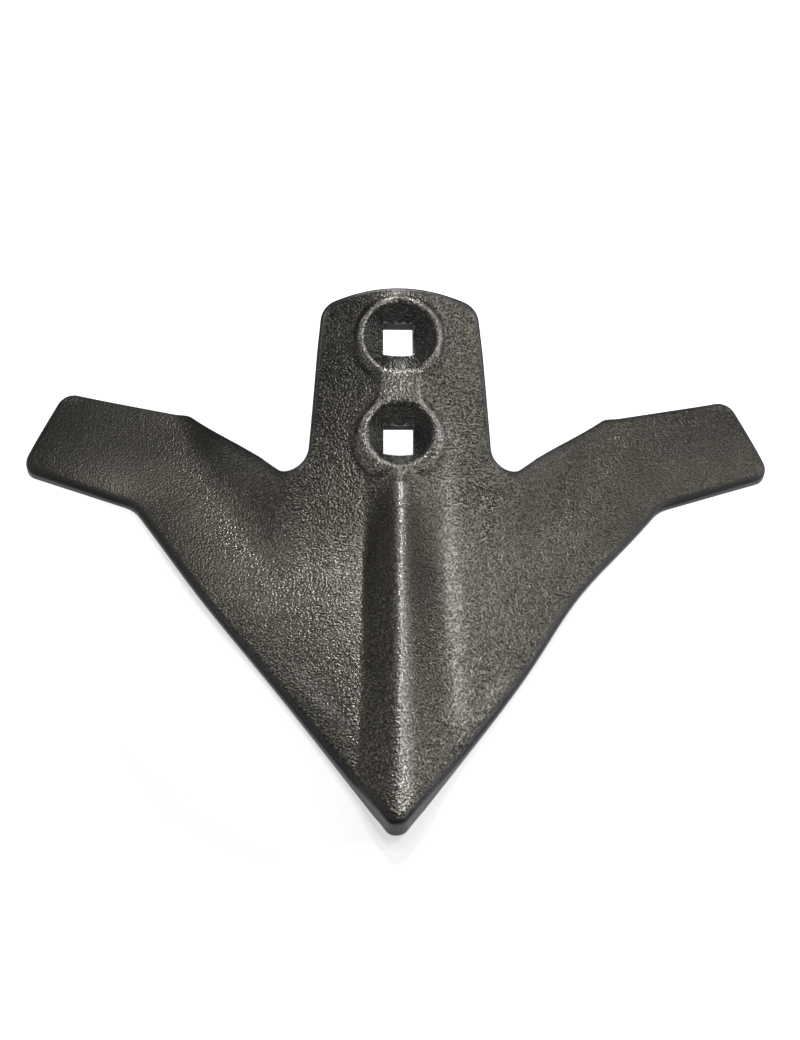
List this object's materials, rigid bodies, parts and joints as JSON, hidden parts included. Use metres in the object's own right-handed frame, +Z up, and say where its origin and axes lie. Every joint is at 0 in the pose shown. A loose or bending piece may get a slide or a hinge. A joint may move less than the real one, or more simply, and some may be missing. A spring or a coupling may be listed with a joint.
{
  "type": "plough share",
  "caption": "Forged plough share: a V-shaped blade with a central rib, swept wings and a raised neck with square bolt holes.",
  "frame": {"origin": "centre of the bounding box in plan, on the ground plane that the cutting edges rest on", "axes": "+X across the wings, the tip towards -Y and the neck towards +Y, +Z up"},
  "size_m": [0.343, 0.2276, 0.0773],
  "materials": {
    "forged_steel": "dark, slightly glossy forging skin with a fine grain"
  },
  "bodies": {
    "root": {"share": "forged_steel"}
  },
  "joints": []
}
